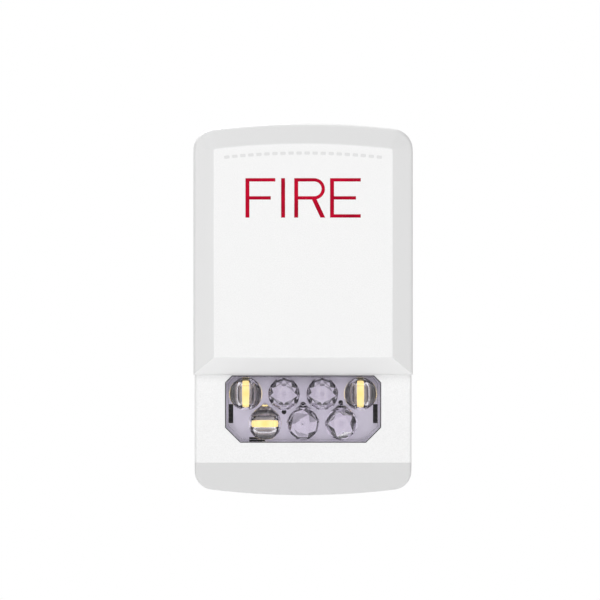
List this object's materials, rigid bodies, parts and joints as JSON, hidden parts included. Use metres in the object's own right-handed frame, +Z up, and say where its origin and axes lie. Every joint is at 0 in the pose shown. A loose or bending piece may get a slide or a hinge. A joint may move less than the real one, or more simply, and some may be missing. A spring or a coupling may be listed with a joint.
{
  "type": "horn strobe",
  "caption": "Wall-mounted fire alarm horn strobe: a bevelled white head with a clear multi-dome lamp lens, hooked on a wall plate and locked by a captive screw.",
  "frame": {"origin": "on the wall, at the middle of the wall plate's box screw pattern", "axes": "+Z up the wall, +X to the viewer's right, -Y out of the wall towards the viewer"},
  "size_m": [0.078, 0.0331, 0.1326],
  "materials": {
    "white_cover": "fine-grained white moulded plastic",
    "red_ink": "red filled lettering",
    "grey_rear": "dark grey moulded plastic",
    "white_plate": "white moulded plastic",
    "black_moulding": "black moulded plastic",
    "white_moulding": "off-white moulded plastic",
    "zinc_steel": "zinc-plated steel",
    "brass": "bright brass",
    "spring_bronze": "phosphor bronze strip",
    "ceramic": "fired ceramic",
    "circuit_board": "green solder mask",
    "can_aluminium": "bare can with a sleeve",
    "ferrite": "dark ferrite",
    "copper_wire": "enamelled copper wire",
    "dark_horn": "dark moulded plastic",
    "pale_frame": "pale grey glossy plastic",
    "clear_lens": "clear polycarbonate",
    "lamp_ceramic": "white ceramic carrier",
    "phosphor": "yellow phosphor",
    "red_switch": "red moulded plastic"
  },
  "bodies": {
    "wall_plate": {"wall_plate": "white_plate", "terminal_block": "black_moulding", "terminal_screws": "zinc_steel", "terminal_clamps": "brass", "contact_springs": "spring_bronze"},
    "head": {"front_cover": "white_cover", "fire_lettering": "red_ink", "rear_cover": "grey_rear", "main_board": "circuit_board", "lamp_board": "circuit_board", "link_socket": "black_moulding", "link_plug": "white_moulding", "contact_pins": "brass", "storage_capacitors": "can_aluminium", "inductor_core": "ferrite", "inductor_winding": "copper_wire", "control_chips": "black_moulding", "sounder_base": "black_moulding", "sounder_pins": "brass", "piezo_plate": "brass", "piezo_ceramic": "ceramic", "sounder_horn": "dark_horn", "optic_frame": "pale_frame", "lens": "clear_lens", "lamp_carriers": "lamp_ceramic", "lamp_phosphors": "phosphor", "candela_switch_body": "black_moulding", "dip_switch_body": "red_switch", "cover_screws": "zinc_steel", "main_board_screws": "zinc_steel", "lamp_board_screws": "zinc_steel", "optic_screws": "zinc_steel"},
    "lock_screw": {"lock_screw": "zinc_steel"},
    "lock_nut": {"lock_nut": "zinc_steel"},
    "candela_slider": {"candela_slider": "white_moulding"},
    "dip_slider_1": {"dip_slider_1": "white_moulding"},
    "dip_slider_2": {"dip_slider_2": "white_moulding"},
    "dip_slider_3": {"dip_slider_3": "white_moulding"}
  },
  "joints": [
    {"name": "head_swing", "type": "hinge", "parent": "wall_plate", "child": "head", "pos_m": [0, -0.0004, 0.0663], "axis": [-1, 0, 0], "range_deg": [0, 25]},
    {"name": "lock_screw_turn", "type": "hinge", "parent": "head", "child": "lock_screw", "pos_m": [0, -0.0058, -0.06], "axis": [0, 0, 1], "range_deg": [-1080, 0]},
    {"name": "lock_nut_lift", "type": "slide", "parent": "head", "child": "lock_nut", "axis": [0, 0, 1], "range_m": [0, 0.0021]},
    {"name": "candela_slide", "type": "slide", "parent": "head", "child": "candela_slider", "axis": [1, 0, 0], "range_m": [0, 0.012]},
    {"name": "dip_slide_1", "type": "slide", "parent": "head", "child": "dip_slider_1", "axis": [0, 0, 1], "range_m": [0, 0.0018]},
    {"name": "dip_slide_2", "type": "slide", "parent": "head", "child": "dip_slider_2", "axis": [0, 0, 1], "range_m": [0, 0.0018]},
    {"name": "dip_slide_3", "type": "slide", "parent": "head", "child": "dip_slider_3", "axis": [0, 0, 1], "range_m": [0, 0.0018]}
  ],
  "couplings": [
    {"joint": "lock_screw_turn", "follows": "lock_nut_lift", "rad_per_m": -8976}
  ]
}
